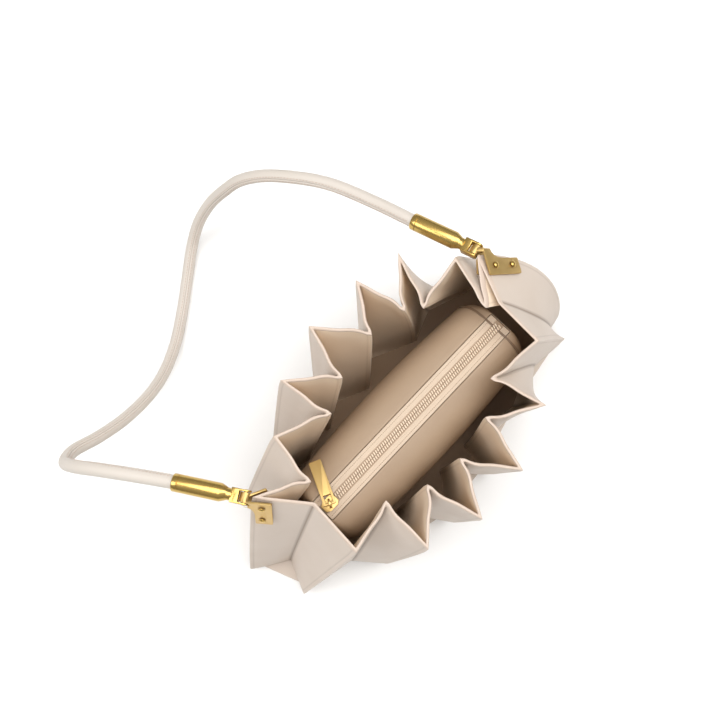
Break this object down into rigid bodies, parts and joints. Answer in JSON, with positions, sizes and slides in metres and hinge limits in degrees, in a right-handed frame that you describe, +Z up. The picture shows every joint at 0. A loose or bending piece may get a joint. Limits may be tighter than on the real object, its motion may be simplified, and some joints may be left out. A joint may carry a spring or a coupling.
{
  "type": "pleated shoulder bag",
  "caption": "Open-topped pleated leather shoulder bag with a zipped middle pouch and a rolled strap on hinged metal ends.",
  "frame": {"origin": "on the floor under the middle of the zip, on the flat bottom of the base panel", "axes": "+X along the bag towards its right end, -Y towards its front, +Z up"},
  "size_m": [0.373, 0.3367, 0.1629],
  "materials": {
    "cream_leather": "smooth cream leather, satin",
    "tan_lining": "smooth tan leather, matt",
    "zip_tape": "woven cream tape and coil",
    "gold_brass": "polished"
  },
  "bodies": {
    "bag": {"pleated_body": "cream_leather", "lining": "tan_lining", "base_panel": "cream_leather", "pouch": "tan_lining", "zip_tape_far": "zip_tape", "zip_tape_near": "zip_tape", "zip_chain": "zip_tape", "zip_slider": "gold_brass", "strap_plate_left": "gold_brass", "strap_plate_right": "gold_brass", "rivet_left_front_1": "gold_brass", "rivet_left_front_2": "gold_brass", "rivet_left_back_1": "gold_brass", "rivet_left_back_2": "gold_brass", "rivet_right_front_1": "gold_brass", "rivet_right_front_2": "gold_brass", "rivet_right_back_1": "gold_brass", "rivet_right_back_2": "gold_brass", "hinge_pin_left": "gold_brass", "hinge_pin_right": "gold_brass", "ferrule_left": "gold_brass", "ferrule_right": "gold_brass", "strap": "cream_leather"},
    "zip_pull": {"zip_pull": "gold_brass"}
  },
  "joints": [
    {"name": "zip_pull_lift", "type": "hinge", "parent": "bag", "child": "zip_pull", "pos_m": [-0.08741, -0.00789, 0.1399], "axis": [0.9176, -0.3975, 0], "range_deg": [0, 100]}
  ]
}
